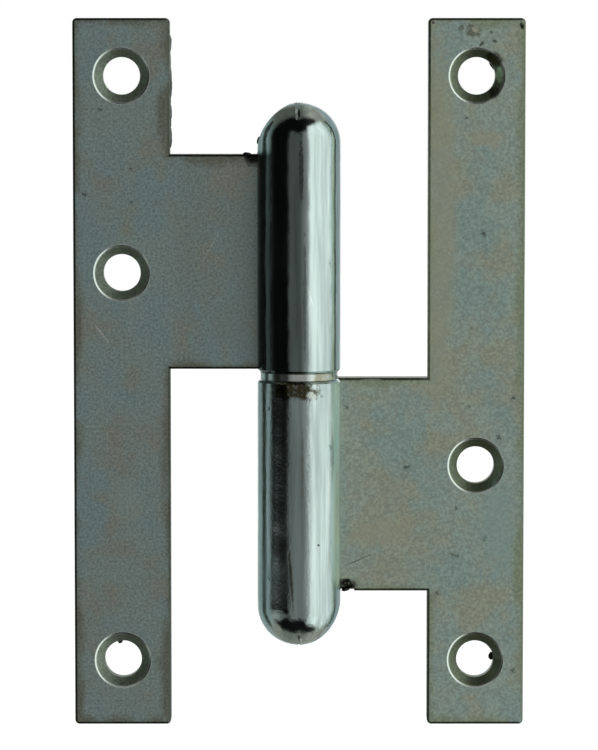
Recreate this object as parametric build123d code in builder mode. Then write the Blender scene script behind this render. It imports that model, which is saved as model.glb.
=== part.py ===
from build123d import *
import os
from math import asin, cos, sin

# Lift-off hinge, standing upright and opened flat. Millimetres, +Z up.
# The pin axis is Z, the origin is at mid-height, and the screws go in from the front, which is -Y.

# Leaves
leaf_height = 110.0
leaf_reach = 35.0
strip_width = 15.0
sheet_thickness = 3.4
strip_corner = 0.7
edge_roll_width = 0.35
edge_roll_depth = 0.2
tab_height = 33.3
relief_width = 2.2
relief_height = 1.9
relief_depth = 2.2
relief_slant = 0.8

# Rolled knuckles
knuckle_beyond_tab = 8.0
roll_gap = 0.25
dome_height = 6.2
flank_radius = 8.5
flank_offset = 2.0
flank_rise = 0.5
mouth_chamfer = 0.3
shoulder_slope = 0.5
bore_end_cone = 2.0
seam_width = 0.3
seam_depth = 0.6
seam_reach = 4.8

# Pin and ring
pin_diameter = 6.0
pin_air_above = 10.7
pin_air_below = 3.1
pin_taper_height = 4.75
pin_tip_diameter = 2.9
pin_tip_round = 0.5
pin_foot_chamfer = 0.5
pin_wall = 1.25
pin_hollow_depth = 14.0
pin_cap = 0.5
window_width = 2.5
window_height = 4.3
window_below_tip = 0.8
window_turn = 20.0
running_clearance = 0.05
ring_diameter = 12.0
ring_thickness = 1.4
ring_edge = 0.2

# Screw holes
screw_hole = 5.8
screw_head = 8.4
screw_head_angle = 90.0
screw_rim_ease = 0.2
top_hole_margin = 8.9
bottom_hole_margin = 10.1
inner_hole_reach = 15.0

# Sizes that follow from the ones above
pin_radius = pin_diameter / 2
running_bore = pin_radius + running_clearance
knuckle_radius = running_bore + sheet_thickness
sheet_front = knuckle_radius - sheet_thickness
knuckle_mouth = ring_thickness / 2
tab_top = knuckle_mouth + tab_height
knuckle_top = tab_top + knuckle_beyond_tab
shoulder = knuckle_top - dome_height
strip_middle = leaf_reach - strip_width / 2
pin_tip = shoulder - pin_air_above
pin_foot = -shoulder + pin_air_below
top_hole = leaf_height / 2 - top_hole_margin
bottom_hole = -leaf_height / 2 + bottom_hole_margin
screw_row_middle = (top_hole + bottom_hole) / 2

# A leaf is drawn with its knuckle up and its tab towards -x. The lower leaf is the same shape turned half round.
upper_home = Plane.XY
lower_home = Plane(origin=(0, 0, 0), x_dir=(-1, 0, 0), z_dir=(0, 0, -1))


def facing_front(home, distance=0):
    """Upright plane whose normal points to the front, at a distance behind the pin axis."""
    return Plane(origin=home.origin + home.y_dir * distance, x_dir=home.x_dir, z_dir=-home.y_dir)


def from_tab_side(home):
    """Upright plane through the pin axis, square to the leaf."""
    return Plane(origin=home.origin, x_dir=home.y_dir, z_dir=home.x_dir)


def roll_section(bore_radius):
    """Flat sheet that turns round the pin and stops just short of its own front face."""
    end_angle = asin((sheet_front - roll_gap) / knuckle_radius)
    beyond = 2 * knuckle_radius
    Circle(knuckle_radius)
    Circle(bore_radius, mode=Mode.SUBTRACT)
    Polygon(
        (0, 0),
        (-beyond * cos(end_angle), beyond * sin(end_angle)),
        (-beyond, sheet_front),
        (0, sheet_front),
        align=None,
        mode=Mode.SUBTRACT,
    )
    with Locations((-knuckle_radius / 2, knuckle_radius - sheet_thickness / 2)):
        Rectangle(knuckle_radius, sheet_thickness)


def rolled_knuckle(home, bore_radius):
    """Tube rolled from the sheet, with its far end swaged shut to a dome."""
    far_corner = 1.5 * knuckle_radius
    with BuildPart() as knuckle:
        with BuildSketch(home.offset(knuckle_mouth)):
            roll_section(bore_radius)
        extrude(amount=knuckle_top - knuckle_mouth)
        with BuildSketch(home.offset(shoulder)):
            Circle(knuckle_radius)
        extrude(amount=dome_height)

        # The swage trims everything outside the dome, and a chamfer runs round the mouth
        with BuildSketch(facing_front(home)):
            with BuildLine():
                Polyline(
                    (0, knuckle_top),
                    (0, knuckle_mouth),
                    (knuckle_radius - mouth_chamfer, knuckle_mouth),
                    (knuckle_radius, knuckle_mouth + mouth_chamfer),
                    (knuckle_radius, tab_top - relief_height),
                    (far_corner, tab_top - relief_height),
                    (far_corner, shoulder - shoulder_slope * (far_corner - knuckle_radius)),
                    (knuckle_radius, shoulder),
                )
                EllipticalCenterArc((0, shoulder), knuckle_radius, dome_height, start_angle=0, arc_size=90)
            make_face()
        revolve(axis=Axis(home.origin, home.z_dir), mode=Mode.INTERSECT)

        # The tab side of the dome is pressed to a flatter curve
        with BuildSketch(facing_front(home)):
            with Locations((-far_corner / 2, knuckle_top)):
                Rectangle(far_corner, 2 * flank_radius)
            with Locations((flank_offset, knuckle_top - flank_radius + flank_rise)):
                Circle(flank_radius, mode=Mode.SUBTRACT)
                with Locations((-far_corner, -flank_radius)):
                    Rectangle(2 * far_corner, 2 * flank_radius, mode=Mode.SUBTRACT)
        extrude(amount=2 * knuckle_radius, both=True, mode=Mode.SUBTRACT)

        # The bore runs on into the dome and ends in a cone
        with BuildSketch(facing_front(home)):
            with BuildLine():
                Polyline(
                    (0, shoulder),
                    (bore_radius, shoulder),
                    (0, shoulder + bore_end_cone),
                    close=True,
                )
            make_face()
        revolve(axis=Axis(home.origin, home.z_dir), mode=Mode.SUBTRACT)

        # The pinched seam runs from the pole down the front of the dome
        with BuildSketch(from_tab_side(home)):
            with Locations((-seam_reach / 2, knuckle_top)):
                Rectangle(seam_reach, 2 * dome_height)
            with Locations((0, shoulder)):
                Ellipse(knuckle_radius - seam_depth, dome_height - seam_depth, mode=Mode.SUBTRACT)
        extrude(amount=seam_width / 2, both=True, mode=Mode.SUBTRACT)
    return knuckle.part


def leaf_blank():
    """Outline of the flat sheet: the screw strip, and the tab that runs to the pin axis."""
    with Locations((-strip_middle, 0)):
        RectangleRounded(strip_width, leaf_height, strip_corner)
    tab_length = strip_middle
    with Locations((-tab_length / 2, knuckle_mouth + tab_height / 2)):
        Rectangle(tab_length, tab_height)


def leaf(home, bore_radius, screw_heights):
    """One leaf of the hinge, cut and rolled from a single sheet."""
    with BuildPart() as piece:
        with BuildSketch(facing_front(home, knuckle_radius)):
            leaf_blank()
        extrude(amount=sheet_thickness)
        front = piece.faces().sort_by(Axis.Y)[0]
        outline = front.edges().filter_by(lambda edge: abs(edge.center().X) > knuckle_radius)
        chamfer(outline, length=edge_roll_width, length2=edge_roll_depth, reference=front)

        # The shear that frees the knuckle leaves a torn pocket in the corner of the tab
        with BuildSketch(facing_front(home, sheet_front)):
            Polygon(
                (-knuckle_radius, tab_top),
                (-knuckle_radius, tab_top - relief_height),
                (-knuckle_radius - relief_width + relief_slant, tab_top - relief_height),
                (-knuckle_radius - relief_width, tab_top),
                align=None,
            )
        extrude(amount=-relief_depth, mode=Mode.SUBTRACT)

        add(rolled_knuckle(home, bore_radius))
        with Locations(facing_front(home, sheet_front)):
            with Locations(*[(-strip_middle, height * home.z_dir.Z) for height in screw_heights]):
                CounterSinkHole(
                    radius=screw_hole / 2,
                    counter_sink_radius=screw_head / 2,
                    counter_sink_angle=screw_head_angle,
                )
        rims = piece.edges().filter_by(GeomType.CIRCLE).filter_by(
            lambda edge: abs(edge.radius - screw_head / 2) < 0.001 and abs(edge.arc_center.Y - sheet_front) < 0.001
        )
        chamfer(rims, length=screw_rim_ease)
    return piece


os.makedirs("parts", exist_ok=True)

# The upper leaf lifts off, and its bore runs on the pin
female_leaf = leaf(upper_home, running_bore, (top_hole, screw_row_middle + inner_hole_reach, bottom_hole))
female_leaf.part.label = "female_leaf"
export_step(female_leaf.part, "parts/female_leaf.step")

# The lower leaf is rolled tight on the pin
male_leaf = leaf(lower_home, pin_radius, (top_hole, screw_row_middle - inner_hole_reach, bottom_hole))
male_leaf.part.label = "male_leaf"
export_step(male_leaf.part, "parts/male_leaf.step")

# The ring lies on the lower knuckle and carries the upper one
with BuildPart() as ring:
    with BuildSketch(Plane.XY.offset(-knuckle_mouth)):
        Circle(ring_diameter / 2)
        Circle(running_bore, mode=Mode.SUBTRACT)
    extrude(amount=ring_thickness)
    chamfer(ring.edges().filter_by(GeomType.CIRCLE).group_by(SortBy.RADIUS)[-1], length=ring_edge)
ring.part.label = "ring"
export_step(ring.part, "parts/ring.step")

# The pin is a tube whose tip is swaged to a blunt point
with BuildPart() as pin:
    with BuildSketch(Plane.XZ) as pin_profile:
        with BuildLine():
            Polyline(
                (0, pin_foot),
                (pin_radius - pin_foot_chamfer, pin_foot),
                (pin_radius, pin_foot + pin_foot_chamfer),
                (pin_radius, pin_tip - pin_taper_height),
                (pin_tip_diameter / 2, pin_tip),
                (0, pin_tip),
                close=True,
            )
        make_face()
        fillet(pin_profile.vertices().group_by(Axis.Y)[-1].sort_by(Axis.X)[-1], radius=pin_tip_round)
    revolve(axis=Axis.Z)
    with BuildSketch(Plane.XZ):
        with BuildLine():
            Polyline(
                (0, pin_tip - pin_hollow_depth),
                (pin_radius - pin_wall, pin_tip - pin_hollow_depth),
                (pin_radius - pin_wall, pin_tip - pin_taper_height),
                (pin_tip_diameter / 2 - pin_cap, pin_tip - pin_cap),
                (0, pin_tip - pin_cap),
                close=True,
            )
        make_face()
    revolve(axis=Axis.Z, mode=Mode.SUBTRACT)

    # The seam of the tube gapes at the tip
    with BuildSketch(Plane.XZ.rotated((0, 0, -window_turn))):
        with Locations((0, pin_tip - window_below_tip - window_height / 2)):
            Ellipse(window_width / 2, window_height / 2)
    extrude(amount=pin_diameter, mode=Mode.SUBTRACT)
pin.part.label = "pin"
export_step(pin.part, "parts/pin.step")
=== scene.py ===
import math

import bpy
import bmesh
from mathutils import Matrix, Vector, noise


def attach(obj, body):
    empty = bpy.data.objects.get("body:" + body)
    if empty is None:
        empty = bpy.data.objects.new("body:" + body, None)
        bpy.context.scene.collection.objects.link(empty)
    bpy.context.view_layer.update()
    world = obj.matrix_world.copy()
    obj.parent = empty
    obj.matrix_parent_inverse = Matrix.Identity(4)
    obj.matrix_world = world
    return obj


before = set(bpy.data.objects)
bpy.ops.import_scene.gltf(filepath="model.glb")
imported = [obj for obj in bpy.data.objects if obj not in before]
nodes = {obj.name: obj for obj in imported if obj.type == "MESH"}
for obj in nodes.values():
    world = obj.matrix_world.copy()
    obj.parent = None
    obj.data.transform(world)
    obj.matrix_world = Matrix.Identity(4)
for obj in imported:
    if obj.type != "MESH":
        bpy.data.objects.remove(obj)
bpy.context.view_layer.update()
print("frame loaded:", ", ".join(sorted(nodes)))

mm = 0.001
white = (1, 1, 1, 1)


# Node helpers

def setInputs(tree, node, inputs):
    # a socket is linked, and anything else becomes the input's own value
    for key, value in inputs.items():
        socket = node.inputs[key]
        if isinstance(value, bpy.types.NodeSocket):
            tree.links.new(value, socket)
        else:
            socket.default_value = value
    return node


def addNode(tree, kind, inputs=None, **settings):
    node = tree.nodes.new(kind)
    for key, value in settings.items():
        setattr(node, key, value)
    return setInputs(tree, node, inputs or {})


def mathNode(tree, operation, a, b=0.0):
    return addNode(tree, "ShaderNodeMath", {0: a, 1: b}, operation=operation).outputs[0]


def product(tree, a, b):
    return mathNode(tree, "MULTIPLY", a, b)


def vectorNode(tree, operation, a, b):
    return addNode(tree, "ShaderNodeVectorMath", {0: a, 1: b}, operation=operation).outputs[0]


def vectorLength(tree, vector):
    return addNode(tree, "ShaderNodeVectorMath", {0: vector}, operation="LENGTH").outputs["Value"]


def splitVector(tree, vector):
    return addNode(tree, "ShaderNodeSeparateXYZ", {0: vector}).outputs


def ramp(tree, value, fromMin, fromMax, toMin=0.0, toMax=1.0):
    node = addNode(
        tree, "ShaderNodeMapRange",
        {"Value": value, "From Min": fromMin, "From Max": fromMax, "To Min": toMin, "To Max": toMax},
        interpolation_type="SMOOTHSTEP")
    return node.outputs["Result"]


def fade(tree, value, start, end):
    return ramp(tree, value, start, end, 1.0, 0.0)


def mixColour(tree, factor, a, b, blend="MIX"):
    node = addNode(tree, "ShaderNodeMix", {0: factor, 6: a, 7: b}, data_type="RGBA", blend_type=blend)
    return node.outputs[2]


def dimColour(tree, colour, level):
    grey = addNode(tree, "ShaderNodeCombineColor", {0: level, 1: level, 2: level}).outputs[0]
    return mixColour(tree, 1.0, colour, grey, "MULTIPLY")


def mixValue(tree, factor, a, b):
    return addNode(tree, "ShaderNodeMix", {0: factor, 2: a, 3: b}, data_type="FLOAT").outputs[0]


def noiseNode(tree, vector, scale, detail, roughness=0.55):
    inputs = {"Vector": vector, "Scale": scale, "Detail": detail, "Roughness": roughness}
    return addNode(tree, "ShaderNodeTexNoise", inputs).outputs["Fac"]


def newGroup(name, inputs, outputs):
    tree = bpy.data.node_groups.new(name, "ShaderNodeTree")
    for label, kind in inputs.items():
        tree.interface.new_socket(label, in_out="INPUT", socket_type="NodeSocket" + kind)
    for label in outputs:
        tree.interface.new_socket(label, in_out="OUTPUT", socket_type="NodeSocketFloat")
    start = tree.nodes.new("NodeGroupInput")
    end = tree.nodes.new("NodeGroupOutput")
    return tree, start.outputs, end.inputs


def placeGroup(tree, group, inputs):
    node = tree.nodes.new("ShaderNodeGroup")
    node.node_tree = group
    return setInputs(tree, node, inputs).outputs


def newMaterial(name):
    material = bpy.data.materials.new(name)
    material.use_nodes = True
    tree = material.node_tree
    return material, tree, tree.nodes["Principled BSDF"]


def objectPlace(tree):
    return addNode(tree, "ShaderNodeTexCoord").outputs["Object"]


def addBump(tree, shader, height, strength=1.0, distance=mm):
    bump = addNode(tree, "ShaderNodeBump", {"Height": height, "Strength": strength, "Distance": distance})
    tree.links.new(bump.outputs[0], shader.inputs["Normal"])


def linear(red, green, blue, gain):
    # screen values of 0 to 255, as the linear values that a shader takes
    values = [value / 255 for value in (red, green, blue)]
    values = [value / 12.92 if value <= 0.04045 else ((value + 0.055) / 1.055) ** 2.4 for value in values]
    return tuple(min(value * gain, 1.0) for value in values) + (1.0,)


# Camera

camera = {
    "distance": 0.60,
    "pitch": 4.5,
    "pixelsPerMm": 6.47,
    "imageHeight": 750,
    "sensorHeight": 24.0,
    "clipStart": 0.01,
}


def makeCamera():
    data = bpy.data.cameras.new("camera")
    data.sensor_fit = "VERTICAL"
    data.sensor_height = camera["sensorHeight"]
    viewHeight = camera["imageHeight"] / camera["pixelsPerMm"] * mm
    data.lens = camera["sensorHeight"] * camera["distance"] / viewHeight
    data.clip_start = camera["clipStart"]
    eye = bpy.data.objects.new("camera", data)
    bpy.context.scene.collection.objects.link(eye)
    pitch = math.radians(camera["pitch"])
    eye.location = Vector((0, -math.cos(pitch), math.sin(pitch))) * camera["distance"]
    eye.rotation_euler = (math.pi / 2 - pitch, 0, 0)
    bpy.context.scene.camera = eye


makeCamera()
bpy.context.scene.view_settings.view_transform = "Standard"
print("camera ready")


# Light tent: the metal sees a grey front, a dark surround, a bright right window and pale sides behind it.
# Angles are in degrees: azimuth to the right of the front, elevation and tilt from level, and the side and
# backdrop edges off the front.

studio = {
    "front": 0.34,
    "frontAzimuth": (24, 33),
    "frontElevation": (34, 44),
    "dark": 0.013,
    "sideEdge": (80, 94),
    "leftSide": (0.30, 0.38, 0.38, 1),
    "rightSide": (0.36, 0.44, 0.46, 1),
    "leftToRight": (-0.25, 0.25),
    "over": (0.42, 0.41, 0.36, 1),  # above and below
    "overTilt": (25, 50),
    "backdropEdge": (150, 162),
    "window": (1.0, 1.06, 1.03, 1),
    "windowLeft": (22, 33),
    "windowRight": (92, 106),
    "windowElevation": (46, 58),
    "bounce": (0.30, 0.32, 0.31, 1),  # what the pale floor throws up, low on the left
    "bounceMiddle": (-62, -23),
    "bounceSize": (33, 13),
    "bounceEdge": (0.45, 1.0),
}


def makeWorld():
    world = bpy.data.worlds.new("studio")
    bpy.context.scene.world = world
    world.use_nodes = True
    tree = world.node_tree
    tree.nodes.clear()
    axes = splitVector(tree, addNode(tree, "ShaderNodeTexCoord").outputs["Generated"])
    toFront = product(tree, axes["Y"], -1.0)
    offFront = mathNode(tree, "DEGREES", mathNode(tree, "ARCCOSINE", toFront))
    azimuth = mathNode(tree, "DEGREES", mathNode(tree, "ARCTAN2", axes["X"], toFront))
    elevation = mathNode(tree, "DEGREES", mathNode(tree, "ARCSINE", axes["Z"]))
    sideways = mathNode(tree, "ABSOLUTE", azimuth)
    tilt = mathNode(tree, "ABSOLUTE", elevation)

    front = product(
        tree, fade(tree, sideways, *studio["frontAzimuth"]), fade(tree, tilt, *studio["frontElevation"]))
    level = mixValue(tree, front, studio["dark"], studio["front"])
    rightness = ramp(tree, axes["X"], *studio["leftToRight"])
    side = mixColour(tree, rightness, studio["leftSide"], studio["rightSide"])
    side = mixColour(tree, ramp(tree, tilt, *studio["overTilt"]), side, studio["over"])
    colour = mixColour(tree, ramp(tree, offFront, *studio["sideEdge"]), level, side)

    spread = None
    for angle, middle, size in zip((azimuth, elevation), studio["bounceMiddle"], studio["bounceSize"]):
        share = mathNode(tree, "DIVIDE", mathNode(tree, "SUBTRACT", angle, middle), size)
        share = product(tree, share, share)
        spread = share if spread is None else mathNode(tree, "ADD", spread, share)
    colour = mixColour(tree, fade(tree, spread, *studio["bounceEdge"]), colour, studio["bounce"])

    across = product(
        tree, ramp(tree, azimuth, *studio["windowLeft"]), fade(tree, azimuth, *studio["windowRight"]))
    window = product(tree, across, fade(tree, tilt, *studio["windowElevation"]))
    colour = mixColour(tree, window, colour, studio["window"])
    colour = mixColour(tree, ramp(tree, offFront, *studio["backdropEdge"]), colour, white)
    seen = addNode(tree, "ShaderNodeLightPath").outputs["Is Camera Ray"]
    colour = mixColour(tree, seen, colour, white)
    background = addNode(tree, "ShaderNodeBackground", {"Color": colour, "Strength": 1.0})
    addNode(tree, "ShaderNodeOutputWorld", {"Surface": background.outputs[0]})


makeWorld()
print("light tent ready")


# Floor, just below the leaves' feet: white where nothing shades it

floor = {
    "height": -68 * mm,
    "radius": 1.6,
    "segments": 96,
    "glow": 0.80,
    "albedo": (0.78, 0.78, 0.78, 1),
}


def makeFloor():
    mesh = bpy.data.meshes.new("floor")
    shape = bmesh.new()
    bmesh.ops.create_circle(shape, cap_ends=True, segments=floor["segments"], radius=floor["radius"])
    bmesh.ops.translate(shape, verts=shape.verts, vec=(0, 0, floor["height"]))
    shape.to_mesh(mesh)
    shape.free()
    ground = bpy.data.objects.new("floor", mesh)
    bpy.context.scene.collection.objects.link(ground)
    material, tree, shader = newMaterial("paleFloor")
    path = addNode(tree, "ShaderNodeLightPath").outputs
    setInputs(tree, shader, {
        "Base Color": floor["albedo"],
        "Roughness": 1.0,
        "Specular IOR Level": 0.0,
        "Emission Color": white,
        "Emission Strength": product(tree, path["Is Camera Ray"], floor["glow"]),
    })
    # The metal mirrors the tent below it, not the floor
    clear = addNode(tree, "ShaderNodeBsdfTransparent").outputs[0]
    both = addNode(tree, "ShaderNodeMixShader", {0: path["Is Glossy Ray"], 1: shader.outputs[0], 2: clear})
    tree.links.new(both.outputs[0], tree.nodes["Material Output"].inputs["Surface"])
    mesh.materials.append(material)


makeFloor()
print("floor ready")


# Effects that several finishes share. Each noise has a detail and a roughness.

mottling = {
    "grain": (3.0, 0.65),
    "clouds": (4.0, 0.55),
    "cloudStretch": (1.0, 1.0, 0.6),
    "patches": (5.0, 0.56),
    "patchShift": (0.31, 0.17, 0.53),
    "streaks": (4.0, 0.6),
    "streakScale": 900.0,
    "streakStretch": (1.0, 1.0, 0.05),
}


def makeMottleGroup():
    # fine plating grain, large soft clouds of two kinds and streaks along the pin axis
    tree, given, out = newGroup(
        "platingMottle", {"Vector": "Vector", "Grain Scale": "Float", "Cloud Scale": "Float"},
        ["Grain", "Clouds", "Patches", "Streaks"])
    place = given["Vector"]
    cloudPlace = vectorNode(tree, "MULTIPLY", place, mottling["cloudStretch"])
    patchPlace = vectorNode(tree, "ADD", place, mottling["patchShift"])
    streakPlace = vectorNode(tree, "MULTIPLY", place, mottling["streakStretch"])
    noises = {
        "Grain": noiseNode(tree, place, given["Grain Scale"], *mottling["grain"]),
        "Clouds": noiseNode(tree, cloudPlace, given["Cloud Scale"], *mottling["clouds"]),
        "Patches": noiseNode(tree, patchPlace, given["Cloud Scale"], *mottling["patches"]),
        "Streaks": noiseNode(tree, streakPlace, mottling["streakScale"], *mottling["streaks"]),
    }
    for label, value in noises.items():
        tree.links.new(value, out[label])
    return tree


pitting = {
    "wobbleScale": 1900.0,
    "wobble": (0.0016, 0.0016, 0.0016),
}


def makeSpeckGroup():
    # sparse pits: 1 inside a pit, 0 elsewhere
    tree, given, out = newGroup(
        "platingSpecks", {"Vector": "Vector", "Scale": "Float", "Size": "Float", "Share": "Float"},
        ["Specks"])
    place = given["Vector"]
    wobble = addNode(tree, "ShaderNodeTexNoise", {"Vector": place, "Scale": pitting["wobbleScale"]})
    wobble = vectorNode(tree, "SUBTRACT", wobble.outputs["Color"], (0.5, 0.5, 0.5))
    place = vectorNode(tree, "ADD", place, vectorNode(tree, "MULTIPLY", wobble, pitting["wobble"]))
    cells = addNode(tree, "ShaderNodeTexVoronoi", {"Vector": place, "Scale": given["Scale"]}).outputs
    pick = addNode(tree, "ShaderNodeSeparateColor", {0: cells["Color"]}).outputs[0]
    chosen = mathNode(tree, "LESS_THAN", pick, given["Share"])
    tree.links.new(product(tree, fade(tree, cells["Distance"], 0.0, given["Size"]), chosen), out["Specks"])
    return tree


spotEdge = {
    "solid": 0.55,  # share of the radius that stays whole
    "tearScale": 900.0,
    "tears": (5.0, 0.7),
}


def makeSpotGroup():
    # ragged ellipse round one place: 1 at its middle, 0 outside
    tree, given, out = newGroup(
        "spotMask",
        {"Vector": "Vector", "Middle": "Vector", "Size": "Vector", "Turn": "Float", "Ragged": "Float"},
        ["Mask"])
    turned = addNode(
        tree, "ShaderNodeVectorRotate",
        {"Vector": given["Vector"], "Center": given["Middle"], "Axis": (0, 1, 0), "Angle": given["Turn"]})
    away = vectorNode(tree, "SUBTRACT", turned.outputs[0], given["Middle"])
    length = vectorLength(tree, vectorNode(tree, "DIVIDE", away, given["Size"]))
    tears = noiseNode(tree, given["Vector"], spotEdge["tearScale"], *spotEdge["tears"])
    torn = product(tree, mathNode(tree, "SUBTRACT", tears, 0.5), given["Ragged"])
    edge = mathNode(tree, "ADD", length, torn)
    tree.links.new(fade(tree, edge, spotEdge["solid"], 1.0), out["Mask"])
    return tree


leafShape = {
    "reach": 35 * mm,
    "stripInner": 20 * mm,
    "halfHeight": 55 * mm,
    "tabRows": (0.7 * mm, 34 * mm),
    "tabSide": (21 * mm, 17 * mm),
    "barrelRadius": 6.45 * mm,
    "barrelSkin": (0.05 * mm, 0.5 * mm),  # beyond the radius
    "shoulder": 35.8 * mm,
    "domeHeight": 6.2 * mm,
    "domeRows": (0.8 * mm, 5.0 * mm),  # above the shoulder
    "holeReach": 27.5 * mm,
    "holeFront": (5.7 * mm, 6.2 * mm),
    "seatEdge": (4.12 * mm, 4.24 * mm),
    "rimHighlightEdge": (4.38 * mm, 4.50 * mm),
}


def makeZoneGroup():
    # where on a leaf a point lies; Flip is 1 for the upper leaf and -1 for the lower one
    tree, given, out = newGroup(
        "leafZones", {"Vector": "Vector", "Flip": "Float", "Hole Heights": "Vector"},
        ["Inset", "Barrel", "Dome", "Seat", "Highlight Rim", "Tab"])
    axes = splitVector(tree, given["Vector"])
    reach = mathNode(tree, "ABSOLUTE", axes["X"])
    rise = mathNode(tree, "ABSOLUTE", axes["Z"])

    # Distance in from the outline of strip and tab
    outer = mathNode(tree, "SUBTRACT", leafShape["reach"], reach)
    inner = mathNode(tree, "SUBTRACT", reach, leafShape["stripInner"])
    ends = mathNode(tree, "SUBTRACT", leafShape["halfHeight"], rise)
    strip = mathNode(tree, "MINIMUM", mathNode(tree, "MINIMUM", outer, inner), ends)
    homeRise = product(tree, axes["Z"], given["Flip"])
    low, high = leafShape["tabRows"]
    aboveLow = mathNode(tree, "SUBTRACT", homeRise, low)
    belowHigh = mathNode(tree, "SUBTRACT", high, homeRise)
    tab = mathNode(tree, "MINIMUM", mathNode(tree, "MINIMUM", aboveLow, belowHigh), outer)
    tree.links.new(mathNode(tree, "MAXIMUM", strip, tab), out["Inset"])
    tree.links.new(ramp(tree, reach, *leafShape["tabSide"]), out["Tab"])

    radius = vectorLength(tree, vectorNode(tree, "MULTIPLY", given["Vector"], (1, 1, 0)))
    skin = [leafShape["barrelRadius"] + beyond for beyond in leafShape["barrelSkin"]]
    tree.links.new(fade(tree, radius, *skin), out["Barrel"])
    domeRows = [leafShape["shoulder"] + above for above in leafShape["domeRows"]]
    tree.links.new(ramp(tree, rise, *domeRows), out["Dome"])

    # Seats of the three screw holes, and the rims round them that carry a painted highlight
    across = mathNode(tree, "SUBTRACT", reach, leafShape["holeReach"])
    nearest = None
    for height in splitVector(tree, given["Hole Heights"]):
        up = mathNode(tree, "SUBTRACT", axes["Z"], height)
        square = mathNode(tree, "ADD", product(tree, across, across), product(tree, up, up))
        away = mathNode(tree, "SQRT", square)
        nearest = away if nearest is None else mathNode(tree, "MINIMUM", nearest, away)
    front = fade(tree, axes["Y"], *leafShape["holeFront"])
    seat = product(tree, front, fade(tree, nearest, *leafShape["seatEdge"]))
    rimHighlight = product(tree, front, fade(tree, nearest, *leafShape["rimHighlightEdge"]))
    tree.links.new(seat, out["Seat"])
    tree.links.new(mathNode(tree, "SUBTRACT", rimHighlight, seat), out["Highlight Rim"])
    return tree


mottleGroup = makeMottleGroup()
speckGroup = makeSpeckGroup()
spotGroup = makeSpotGroup()
zoneGroup = makeZoneGroup()


# Leaf finishes. Plate colours are written as they look, and plateGain turns them into metal under the grey
# front. Barrel places are in mm: a band of painted dark reflection is (middle, half width, softness), an edge
# of painted shade (outside, inside, level).
# A mark is (x, y, z in mm, half width, half height, turn in degrees, raggedness, colour, strength).

plateGain = 3.12
black = (12, 13, 12)
brown = (38, 34, 20)
bright = (196, 204, 196)

upperLook = {
    "flip": 1.0,
    "holeHeights": (46.1 * mm, 15.6 * mm, -44.9 * mm),
    "steel": (100, 111, 108),
    "cool": (96, 110, 109),
    "warm": (102, 106, 99),
    "tab": (96, 106, 103),
    "edge": (78, 78, 66),
    "seat": (98, 105, 95),
    "seatRoughness": 0.55,
    "grainScale": 2600.0,
    "grainDepth": 0.30,
    "cloudScale": 170.0,
    "specks": {"Scale": 420.0, "Size": 0.20, "Share": 0.09},
    "plateRoughness": (0.34, 0.46),
    "barrel": (0.62, 0.72, 0.70, 1),
    # painted reflection: a dark band and a dark outer side on the barrel
    "barrelReflectedDark": (0.16, 0.20, 0.19, 1),
    "barrelReflectionBand": (-1.7, 2.6, 0.9),
    "barrelPaintedShade": (-4.35, -4.05, 0.20),
    "barrelGrain": 0.010,
    "barrelHaze": 0.0,
    "dent": (0.32 * mm, 0.8 * mm),
    "marks": [
        # painted shade: black in the torn notch, the seam slit and the joint of barrel and tab
        (-7.1, 4.1, 33.4, 1.9, 1.5, 0, 0.3, black, 0.97),
        (0.02, -3.6, 40.4, 0.19, 2.3, 0, 0.2, black, 1.0),
        (-6.4, 3.0, 35.0, 0.5, 1.8, 8, 0.6, black, 0.85),
        (0.35, -6.4, 32.0, 0.42, 6.5, 0, 1.2, (34, 40, 38), 0.85),
        (0.9, -6.4, 12.0, 0.32, 11.0, 0, 1.6, (46, 54, 52), 0.6),
        (1.7, -6.3, 12.6, 0.14, 1.9, 16, 1.2, bright, 0.5),
        (-30.6, 3.1, 6.2, 0.22, 2.4, 38, 1.0, bright, 0.35),
        (-13.5, 3.1, 20.0, 0.12, 3.0, -30, 1.2, bright, 0.25),
        (-27.0, 3.1, -20.0, 3.2, 4.5, 20, 1.2, (108, 116, 110), 0.35),
    ],
}
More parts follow.
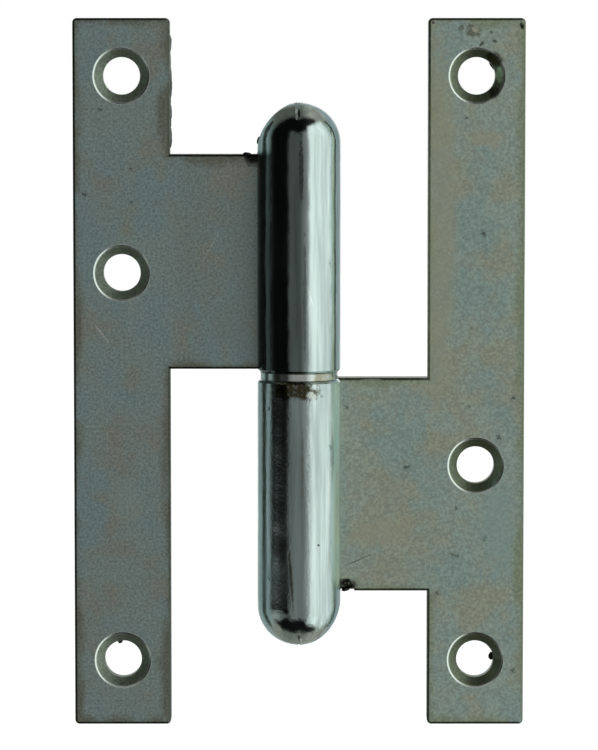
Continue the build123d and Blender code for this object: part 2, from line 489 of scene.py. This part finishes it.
lowerLook = {
    "flip": -1.0,
    "holeHeights": (46.1 * mm, -14.4 * mm, -44.9 * mm),
    "steel": (117, 129, 121),
    "cool": (111, 126, 121),
    "warm": (120, 125, 111),
    "tab": (118, 127, 117),
    "edge": (104, 112, 90),
    "seat": (84, 90, 76),
    "seatRoughness": 0.46,
    "grainScale": 2400.0,
    "grainDepth": 0.22,
    "cloudScale": 170.0,
    "specks": {"Scale": 420.0, "Size": 0.26, "Share": 0.16},
    "plateRoughness": (0.34, 0.44),
    "barrel": (0.60, 0.70, 0.68, 1),
    "barrelReflectedDark": (0.34, 0.42, 0.40, 1),
    "barrelReflectionBand": (-1.0, 2.0, 0.9),
    "barrelPaintedShade": (-6.4, -6.2, 1.0),
    "barrelGrain": 0.030,
    "barrelHaze": 0.10,
    "dent": (0.26 * mm, 0.9 * mm),
    "marks": [
        (21.2, 3.1, 24.0, 4.0, 36.0, 0, 1.0, (122, 123, 104), 0.6),
        (29.2, 3.1, 36.4, 3.2, 1.7, 0, 1.8, (125, 122, 104), 0.5),
        (13.0, 3.1, -25.0, 6.5, 2.8, 8, 1.8, (124, 122, 104), 0.5),
        (31.0, 3.1, -24.0, 3.0, 9.0, 0, 1.6, (104, 124, 122), 0.5),
        # painted shade: black in the torn notch and the seam slit
        (7.5, 4.1, -33.2, 2.1, 1.5, 0, 0.3, black, 0.97),
        (-0.02, -3.2, -40.8, 0.19, 1.9, 0, 0.2, black, 1.0),
        (-1.2, -6.0, -1.8, 5.2, 2.1, -4, 1.8, brown, 0.97),
        (1.7, -6.2, -2.6, 0.7, 0.55, 30, 1.9, (120, 126, 120), 0.9),
        (2.3, -6.2, -3.0, 0.35, 0.6, -20, 1.9, (120, 126, 120), 0.9),
        (3.0, -5.9, -25.8, 0.26, 0.22, 0, 0.6, black, 0.95),
        (-1.2, -6.3, -31.0, 0.26, 5.6, 4, 1.8, (44, 42, 34), 0.85),
        (-2.0, -6.1, -36.0, 0.45, 0.40, 0, 1.8, black, 0.9),
        (0.5, -6.4, -14.0, 0.22, 7.5, 0, 1.9, (70, 72, 66), 0.6),
        (9.2, 3.1, -29.2, 2.8, 0.12, 24, 1.2, black, 0.6),
        (11.2, 3.1, -0.95, 2.0, 0.14, 0, 0.6, bright, 0.8),
        (26.9, 3.1, 53.1, 1.5, 1.2, -30, 2.6, (70, 66, 52), 0.75),
        (27.2, 3.1, 53.2, 0.8, 0.5, -30, 2.2, (130, 130, 112), 0.9),
        (25.0, 3.1, 53.5, 0.7, 0.45, 20, 2.4, (60, 62, 54), 0.6),
        (29.7, 3.1, 52.8, 0.34, 0.28, -40, 2.0, (52, 56, 50), 0.7),
        (28.2, 3.1, 51.0, 0.65, 0.30, 42, 2.0, (44, 46, 40), 0.8),
        (30.2, 3.1, 51.5, 0.65, 0.34, -20, 2.2, (48, 52, 46), 0.8),
        (34.4, 3.1, 53.8, 0.35, 0.7, 20, 1.4, black, 0.95),
        (20.7, 3.1, 54.3, 0.25, 0.25, 0, 1.4, black, 0.8),
        (30.3, 3.8, 48.7, 1.2, 1.9, 48, 0.8, brown, 0.9),
        (31.0, 3.8, 46.2, 0.75, 1.6, 0, 0.7, (134, 152, 128), 0.95),
        (30.2, 3.8, 43.5, 1.1, 1.2, -48, 0.8, black, 0.75),
        (25.9, 3.1, 39.6, 0.45, 0.30, 10, 1.2, black, 0.5),
        (24.6, 3.1, -28.5, 0.5, 0.3, 0, 1.2, black, 0.5),
    ],
}

# What both leaves share. A span is the pair of noise or distance values between which an effect comes in.
plating = {
    "coolSpan": (0.44, 0.62),
    "warmSpan": (0.46, 0.66),
    "marginWidth": 1.7 * mm,
    "marginShare": 0.8,
    "marginWander": 6 * mm,
    "grainSpan": (0.32, 0.70),
    "grainLift": 0.6,
    "rolledShadeSpan": (0.30 * mm, 0.42 * mm),
    "rolledShadeLevel": 0.36,
    "rimHighlight": (0.85, 0.92, 0.85, 1),
    "rimHighlightShare": 0.9,
    "rimRoughness": 0.22,
    "roughSpan": (0.35, 0.65),
    "pitShare": 0.75,
    "pitDepth": -0.02,
    "grainHeight": 0.016,
}
barrelFinish = {
    "frontSpan": (-3 * mm, -1 * mm),
    "domeSpan": (33.4 * mm, 35.2 * mm),
    "streakSpan": (0.3, 0.7),
    "streakLevels": (0.70, 1.10),
    "roughness": (0.09, 0.16),
    "hazeStart": (12 * mm, 30 * mm),
    "hazeEnd": (34 * mm, 37 * mm),
    "hazeSpan": (0.38, 0.60),
    "waveScale": 150.0,
    "waveDetail": 2.0,
    "waveHeight": 0.16,
    "dentSpan": (-1.5 * mm, 0.5 * mm),
}
markWear = {
    "depth": 2.5 * mm,
    "scale": 2600.0,
    "detail": 3.0,
    "span": (0.28, 0.50),
    "levels": (0.45, 1.0),
}


def plateColours(tree, look, zones, mottle):
    def tint(key):
        return linear(*look[key], plateGain)

    # blue-grey and olive clouds, a duller margin, screw seats of their own, painted shade on the rolled edge
    # and painted highlights on the hole rims
    colour = mixColour(tree, zones["Tab"], tint("steel"), tint("tab"))
    colour = mixColour(tree, ramp(tree, mottle["Clouds"], *plating["coolSpan"]), colour, tint("cool"))
    colour = mixColour(tree, ramp(tree, mottle["Patches"], *plating["warmSpan"]), colour, tint("warm"))
    wander = product(tree, mathNode(tree, "SUBTRACT", mottle["Clouds"], 0.5), plating["marginWander"])
    inset = mathNode(tree, "ADD", zones["Inset"], wander)
    margin = ramp(tree, inset, 0.0, plating["marginWidth"], plating["marginShare"], 0.0)
    colour = mixColour(tree, margin, colour, tint("edge"))
    colour = mixColour(tree, zones["Seat"], colour, tint("seat"))
    levels = (1.0 - look["grainDepth"], 1.0 + plating["grainLift"] * look["grainDepth"])
    colour = dimColour(tree, colour, ramp(tree, mottle["Grain"], *plating["grainSpan"], *levels))
    # painted shade: the rolled edge along the outline is darkened
    rolledShade = ramp(tree, zones["Inset"], *plating["rolledShadeSpan"], plating["rolledShadeLevel"], 1.0)
    colour = dimColour(tree, colour, rolledShade)
    # painted highlight: a bright ring round each screw hole
    return mixColour(tree, product(tree, zones["Highlight Rim"], plating["rimHighlightShare"]), colour, plating["rimHighlight"])


def barrelColours(tree, look, mottle, axes):
    # a dim band left of the middle (painted dark reflection), a darker outer side below the dome (painted
    # reflection of the shaded tab), and drawn streaks
    middle, half, soft = look["barrelReflectionBand"]
    offBand = mathNode(tree, "ABSOLUTE", mathNode(tree, "SUBTRACT", axes["X"], middle * mm))
    paintedReflection = fade(tree, offBand, (half - soft) * mm, (half + soft) * mm)
    paintedReflection = product(tree, paintedReflection, fade(tree, axes["Y"], *barrelFinish["frontSpan"]))
    colour = mixColour(tree, paintedReflection, look["barrel"], look["barrelReflectedDark"])
    outside, inside, level = look["barrelPaintedShade"]
    side = ramp(tree, axes["X"], outside * mm, inside * mm, level, 1.0)
    onDome = ramp(tree, mathNode(tree, "ABSOLUTE", axes["Z"]), *barrelFinish["domeSpan"])
    colour = dimColour(tree, colour, mathNode(tree, "MAXIMUM", side, onDome))
    streaks = ramp(tree, mottle["Streaks"], *barrelFinish["streakSpan"], *barrelFinish["streakLevels"])
    return dimColour(tree, colour, streaks)


def addMarks(tree, place, colour, marks):
    wear = noiseNode(tree, place, markWear["scale"], markWear["detail"])
    worn = ramp(tree, wear, *markWear["span"], *markWear["levels"])
    for x, y, z, wide, tall, turn, ragged, tint, strength in marks:
        spot = placeGroup(tree, spotGroup, {
            "Vector": place, "Middle": (x * mm, y * mm, z * mm),
            "Size": (wide * mm, markWear["depth"], tall * mm),
            "Turn": math.radians(turn), "Ragged": ragged})["Mask"]
        share = product(tree, spot, product(tree, worn, strength))
        colour = mixColour(tree, share, colour, linear(*tint, plateGain))
    return colour


def leafRoughness(tree, look, zones, mottle, axes):
    plate = ramp(tree, mottle["Grain"], *plating["roughSpan"], *look["plateRoughness"])
    plate = mixValue(tree, zones["Seat"], plate, look["seatRoughness"])
    plate = mixValue(tree, zones["Highlight Rim"], plate, plating["rimRoughness"])
    # the barrel is smooth, with a haze in patches towards the dome
    rise = mathNode(tree, "ABSOLUTE", axes["Z"])
    haze = product(
        tree, ramp(tree, rise, *barrelFinish["hazeStart"]), fade(tree, rise, *barrelFinish["hazeEnd"]))
    haze = product(tree, haze, ramp(tree, mottle["Patches"], *barrelFinish["hazeSpan"]))
    barrel = ramp(tree, mottle["Clouds"], *plating["roughSpan"], *barrelFinish["roughness"])
    barrel = mathNode(tree, "ADD", barrel, product(tree, haze, look["barrelHaze"]))
    return mixValue(tree, zones["Barrel"], plate, barrel)


def leafRelief(tree, look, place, zones, mottle, specks, axes):
    # in mm: grain and pits, long waves on the barrel, and the swaged dent on each side of the seam
    grainHeight = mixValue(tree, zones["Barrel"], plating["grainHeight"], look["barrelGrain"])
    grain = product(tree, mottle["Grain"], grainHeight)
    waveHeight = mixValue(tree, zones["Barrel"], 0.0, barrelFinish["waveHeight"])
    waves = noiseNode(tree, place, barrelFinish["waveScale"], barrelFinish["waveDetail"])
    waves = product(tree, waves, waveHeight)
    pits = product(tree, specks, plating["pitDepth"])
    depth, width = look["dent"]
    away = product(tree, mathNode(tree, "ABSOLUTE", axes["X"]), -1 / width)
    dent = product(tree, mathNode(tree, "EXPONENT", away), zones["Dome"])
    dent = product(tree, dent, fade(tree, axes["Y"], *barrelFinish["dentSpan"]))
    dent = product(tree, dent, -depth / mm)
    return mathNode(tree, "ADD", mathNode(tree, "ADD", grain, waves), mathNode(tree, "ADD", pits, dent))


def makeLeafFinish(name, look):
    material, tree, shader = newMaterial(name)
    place = objectPlace(tree)
    axes = splitVector(tree, place)
    zones = placeGroup(
        tree, zoneGroup, {"Vector": place, "Flip": look["flip"], "Hole Heights": look["holeHeights"]})
    mottle = placeGroup(
        tree, mottleGroup,
        {"Vector": place, "Grain Scale": look["grainScale"], "Cloud Scale": look["cloudScale"]})
    specks = placeGroup(tree, speckGroup, {"Vector": place, **look["specks"]})["Specks"]

    colour = plateColours(tree, look, zones, mottle)
    colour = mixColour(tree, zones["Barrel"], colour, barrelColours(tree, look, mottle, axes))
    pits = product(tree, specks, plating["pitShare"])
    colour = mixColour(tree, pits, colour, linear(*black, plateGain))
    colour = addMarks(tree, place, colour, look["marks"])
    setInputs(tree, shader, {
        "Base Color": colour,
        "Metallic": 1.0,
        "Roughness": leafRoughness(tree, look, zones, mottle, axes),
    })
    addBump(tree, shader, leafRelief(tree, look, place, zones, mottle, specks, axes))
    return material


# Pin and ring: drawn and turned steel

pinLook = {
    "steel": (0.62, 0.68, 0.66, 1),
    "dull": (0.40, 0.43, 0.38, 1),
    "roughness": (0.12, 0.22),
    "stain": (0.12, 0.12, 0.09, 1),
    "stainRows": (19.5 * mm, 22 * mm),
    "stainSpan": (0.40, 0.60),
}
ringLook = {
    "steel": (0.66, 0.70, 0.66, 1),
    "dull": (0.36, 0.34, 0.26, 1),
    "roughness": (0.16, 0.28),
}
turning = {
    "grainScale": 2600.0,
    "cloudScale": 220.0,
    "dullSpan": (0.50, 0.68),
    "roughSpan": (0.35, 0.65),
    "lineScale": 5200.0,
    "lineDetail": 3.0,
    "lineStretch": (0.05, 0.05, 1.0),
    "lineHeight": 0.003,
    "grainHeight": 0.002,
}


def makeTurnedFinish(name, look):
    material, tree, shader = newMaterial(name)
    place = objectPlace(tree)
    mottle = placeGroup(
        tree, mottleGroup,
        {"Vector": place, "Grain Scale": turning["grainScale"], "Cloud Scale": turning["cloudScale"]})
    colour = mixColour(tree, ramp(tree, mottle["Patches"], *turning["dullSpan"]), look["steel"], look["dull"])
    if "stain" in look:
        tip = ramp(tree, splitVector(tree, place)["Z"], *look["stainRows"])
        tip = product(tree, tip, ramp(tree, mottle["Clouds"], *look["stainSpan"]))
        colour = mixColour(tree, tip, colour, look["stain"])
    setInputs(tree, shader, {
        "Base Color": colour,
        "Metallic": 1.0,
        "Roughness": ramp(tree, mottle["Streaks"], *turning["roughSpan"], *look["roughness"]),
    })
    lines = vectorNode(tree, "MULTIPLY", place, turning["lineStretch"])
    lines = noiseNode(tree, lines, turning["lineScale"], turning["lineDetail"])
    lines = product(tree, lines, turning["lineHeight"])
    grain = product(tree, mottle["Grain"], turning["grainHeight"])
    addBump(tree, shader, mathNode(tree, "ADD", lines, grain))
    return material


finishes = {
    "female_leaf": makeLeafFinish("upperLeafPlating", upperLook),
    "male_leaf": makeLeafFinish("lowerLeafPlating", lowerLook),
    "pin": makeTurnedFinish("pinSteel", pinLook),
    "ring": makeTurnedFinish("ringSteel", ringLook),
}
for nodeName, finish in finishes.items():
    nodes[nodeName].data.materials.clear()
    nodes[nodeName].data.materials.append(finish)
print("finishes on:", ", ".join(finishes))


# Burrs: lumps of (x, y, z, half width, half depth, half height in mm, turn about y in degrees)

burrs = {
    # ragged lip that the shear left along the inner edge of the upper leaf's strip
    "edge": [
        (-20.03, 5.80, 51.0, 0.27, 0.42, 1.3, 3),
        (-20.03, 6.05, 48.8, 0.14, 0.30, 1.7, -2),
        (-20.03, 5.75, 46.2, 0.30, 0.38, 1.8, -3),
        (-20.03, 5.90, 44.2, 0.35, 0.45, 1.6, 2),
        (-20.03, 6.00, 42.4, 0.16, 0.28, 1.3, 0),
        (-20.03, 5.70, 40.6, 0.31, 0.40, 1.3, -2),
        (-20.03, 5.98, 38.8, 0.20, 0.30, 1.4, 3),
        (-20.03, 5.82, 36.7, 0.30, 0.42, 1.7, -2),
    ],
    # slivers in screw holes, in the torn corners of the tabs and beside the dome, coloured near black as
    # painted shade
    "upper": [
        (-28.05, 6.1, -42.25, 0.42, 0.28, 0.50, 10),
        (-7.9, 3.9, 33.9, 0.75, 0.5, 0.38, 14),
        (-6.12, 0.4, 36.25, 0.34, 0.8, 0.60, 24),
    ],
    "lower": [
        (30.15, 6.1, -44.7, 0.40, 0.28, 0.62, 0),
        (29.98, 6.0, 47.68, 0.26, 0.35, 0.80, -32),
        (7.3, 5.2, -34.0, 0.7, 0.5, 0.34, -16),
    ],
    "subdivisions": 3,
    "roughness": 0.22,
    "ripples": 1.8,
    "edgeRipples": 3.2,
}
weldDistance = 1e-6


def newPiece(name, shape, body, finish):
    mesh = bpy.data.meshes.new(name)
    bmesh.ops.remove_doubles(shape, verts=shape.verts, dist=weldDistance)
    bmesh.ops.recalc_face_normals(shape, faces=shape.faces)
    shape.to_mesh(mesh)
    shape.free()
    mesh.materials.append(finish)
    piece = bpy.data.objects.new(name, mesh)
    bpy.context.scene.collection.objects.link(piece)
    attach(piece, body)
    return piece


def makeBurrs(name, lumps, ripples, body, finish):
    shape = bmesh.new()
    for x, y, z, wide, deep, tall, turn in lumps:
        lump = bmesh.ops.create_icosphere(shape, subdivisions=burrs["subdivisions"], radius=1.0)["verts"]
        for vert in lump:
            vert.co *= 1 + burrs["roughness"] * noise.noise(vert.co * ripples + Vector((x, y, z)))
        bmesh.ops.scale(shape, verts=lump, vec=(wide * mm, deep * mm, tall * mm))
        spin = Matrix.Rotation(math.radians(turn), 3, "Y")
        bmesh.ops.rotate(shape, verts=lump, cent=(0, 0, 0), matrix=spin)
        bmesh.ops.translate(shape, verts=lump, vec=Vector((x, y, z)) * mm)
    for face in shape.faces:
        face.smooth = True
    return newPiece(name, shape, body, finish)


# Lip of the pinched seam: a fold beside the slit, from near the pole down the front of each dome.
# beside, width, rise and sunk are in mm, and the two angles are degrees down from the pole.

seamLips = {
    "upper": {"flip": 1, "beside": -0.17, "width": -0.56, "rise": 0.26, "angles": (5, 54)},
    "lower": {"flip": -1, "beside": 0.17, "width": 0.42, "rise": 0.16, "angles": (10, 40)},
    "sunk": 0.25,
    "shallow": 0.1,  # share of sunk at the outer foot
    "crest": 0.3,  # share of the width at which the fold is highest
    "steps": 32,
    "slim": 0.45,
    "swell": 0.25,
    "swellRate": 4,
    "nose": 0.10,
    "noseEnd": 1.02,
}


def makeSeamLip(name, look, body, finish):
    # a wedge spun down a ball, shaped along its length, then squashed to the dome
    first, last = (math.radians(angle) for angle in look["angles"])
    radius = leafShape["barrelRadius"] / mm
    beside, width = look["beside"], look["width"]
    shape = bmesh.new()
    wedge = [
        shape.verts.new((beside, 0, radius - seamLips["sunk"])),
        shape.verts.new((beside + seamLips["crest"] * width, 0, radius + look["rise"])),
        shape.verts.new((beside + width, 0, radius - seamLips["shallow"] * seamLips["sunk"])),
    ]
    shape.faces.new(wedge)
    bmesh.ops.rotate(shape, verts=wedge, cent=(0, 0, 0), matrix=Matrix.Rotation(first, 3, "X"))
    bmesh.ops.spin(
        shape, geom=shape.verts[:] + shape.edges[:] + shape.faces[:], cent=(0, 0, 0), axis=(1, 0, 0),
        dvec=(0, 0, 0), angle=last - first, steps=seamLips["steps"], use_duplicate=False)
    for vert in shape.verts:
        along = (math.atan2(-vert.co.y, vert.co.z) - first) / (last - first)
        # it swells away from the pole, narrows down the front and ends in a short nose
        swell = min(seamLips["swell"] + seamLips["swellRate"] * along, 1.0)
        taper = swell * min((seamLips["noseEnd"] - along) / seamLips["nose"], 1.0)
        out = Vector((0, vert.co.y, vert.co.z)).normalized()
        above = Vector((vert.co.y, vert.co.z)).length - radius
        vert.co -= out * max(above, 0.0) * (1 - taper)
        vert.co.x = beside + (vert.co.x - beside) * (1 - seamLips["slim"] * along)
    squash = leafShape["domeHeight"] / leafShape["barrelRadius"]
    bmesh.ops.scale(shape, verts=shape.verts, vec=(mm, mm, mm * squash * look["flip"]))
    bmesh.ops.translate(shape, verts=shape.verts, vec=(0, 0, leafShape["shoulder"] * look["flip"]))
    return newPiece(name, shape, body, finish)


burrLook = {
    "grainScale": 2600.0,
    "cloudScale": 700.0,
    "cloudSpan": (0.38, 0.62),
    "dim": 0.55,
    "bump": 0.6,
    "bumpDistance": 0.03 * mm,
}


def makeBurrSteel(name, colour, roughness):
    material, tree, shader = newMaterial(name)
    place = objectPlace(tree)
    mottle = placeGroup(
        tree, mottleGroup,
        {"Vector": place, "Grain Scale": burrLook["grainScale"], "Cloud Scale": burrLook["cloudScale"]})
    dim = tuple(value * burrLook["dim"] for value in colour[:3]) + (1.0,)
    setInputs(tree, shader, {
        "Base Color": mixColour(tree, ramp(tree, mottle["Clouds"], *burrLook["cloudSpan"]), colour, dim),
        "Metallic": 1.0,
        "Roughness": roughness,
    })
    addBump(tree, shader, mottle["Grain"], burrLook["bump"], burrLook["bumpDistance"])
    return material


burrSteel = makeBurrSteel("burrSteel", (0.25, 0.26, 0.23, 1), 0.5)
# near black: painted shade on the burrs in the notches and holes
shadeBurrSteel = makeBurrSteel("shadeBurrSteel", (0.06, 0.065, 0.06, 1), 0.45)
# a near-white copy of the barrel steel: painted highlight along the seam lips
lipHighlightSteel = makeBurrSteel("lipHighlightSteel", (0.92, 0.97, 0.94, 1), 0.6)
makeBurrs("upperEdgeBurr", burrs["edge"], burrs["edgeRipples"], "door_leaf", burrSteel)
makeBurrs("upperBurrs", burrs["upper"], burrs["ripples"], "door_leaf", shadeBurrSteel)
makeBurrs("lowerBurrs", burrs["lower"], burrs["ripples"], "frame_leaf", shadeBurrSteel)
makeSeamLip("upperSeamLip", seamLips["upper"], "door_leaf", lipHighlightSteel)
makeSeamLip("lowerSeamLip", seamLips["lower"], "frame_leaf", lipHighlightSteel)
print("burrs and seam lips on")
